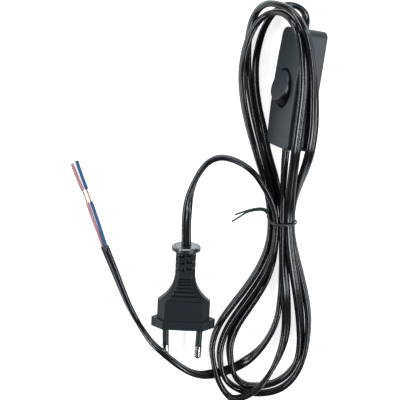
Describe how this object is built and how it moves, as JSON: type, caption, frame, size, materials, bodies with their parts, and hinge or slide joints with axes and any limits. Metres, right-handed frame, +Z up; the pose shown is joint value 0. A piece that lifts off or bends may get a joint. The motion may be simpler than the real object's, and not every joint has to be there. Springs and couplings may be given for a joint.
{
  "type": "power cord with inline switch",
  "caption": "Flat black mains lead wound in a hank, with a flat plug, an inline rocker switch and a bare end with red and blue cores.",
  "frame": {"origin": "on the table, below the middle of the box around plug and switch", "axes": "+X to the right and +Y away from the plug's pins as the lead is seen from above, +Z up"},
  "size_m": [0.134, 0.2236, 0.0349],
  "materials": {
    "plug_plastic": "soft gloss black",
    "carrier_plastic": "black",
    "pin_metal": "nickel plated, lightly worn",
    "pin_sleeve": "black",
    "cord_sheath": "satin black",
    "core_red": "red",
    "core_blue": "light blue",
    "copper": "twisted fine strands",
    "tie_plastic": "black",
    "switch_plastic": "soft gloss black",
    "rocker_plastic": "soft gloss black",
    "plunger_plastic": "white",
    "spring_steel": "drawn wire",
    "contact_brass": "stamped",
    "screw_steel": "zinc plated",
    "clamp_plastic": "black"
  },
  "bodies": {
    "lead": {"clamp_screws": "screw_steel", "common_terminal": "contact_brass", "copper_strands_blue": "copper", "copper_strands_red": "copper", "cord_clamp_inlet": "clamp_plastic", "cord_clamp_outlet": "clamp_plastic", "core_insulation_blue": "core_blue", "core_insulation_red": "core_red", "core_tip_blue": "core_blue", "core_tip_red": "core_red", "fixed_terminal": "contact_brass", "free_end": "cord_sheath", "hank_lower_lobe": "cord_sheath", "hank_upper_lobe": "cord_sheath", "hank_waist": "cord_sheath", "housing_screws": "screw_steel", "left_pin": "pin_metal", "left_pin_sleeve": "pin_sleeve", "left_plug_core": "core_blue", "live_core_in": "core_red", "live_core_out": "core_red", "neutral_core": "core_blue", "pin_carrier": "carrier_plastic", "plug_body": "plug_plastic", "plug_lead": "cord_sheath", "right_pin": "pin_metal", "right_pin_sleeve": "pin_sleeve", "right_plug_core": "core_red", "switch_base": "switch_plastic", "switch_cover": "switch_plastic", "switch_lead_in": "cord_sheath", "switch_lead_out": "cord_sheath", "terminal_screws": "screw_steel", "wire_tie": "tie_plastic"},
    "rocker": {"rocker": "rocker_plastic", "plunger_spring": "spring_steel"},
    "plunger": {"plunger": "plunger_plastic"},
    "contact_lever": {"contact_lever": "contact_brass"}
  },
  "joints": [
    {"name": "rocker_tilt", "type": "hinge", "parent": "lead", "child": "rocker", "pos_m": [0.02676, 0.06024, 0.01543], "axis": [0.3713, -0.0495, 0.9272], "range_deg": [0, 26]},
    {"name": "lever_tilt", "type": "hinge", "parent": "lead", "child": "contact_lever", "pos_m": [0.03406, 0.05926, 0.01245], "axis": [-0.3713, 0.0495, -0.9272], "range_deg": [0, 14]},
    {"name": "plunger_slide", "type": "slide", "parent": "rocker", "child": "plunger", "axis": [-0.8657, 0.3425, 0.365], "range_m": [0, 0.0006], "stiffness_N_per_m": 300}
  ],
  "couplings": [
    {"joint": "lever_tilt", "follows": "rocker_tilt", "ratio": 0.5384}
  ]
}
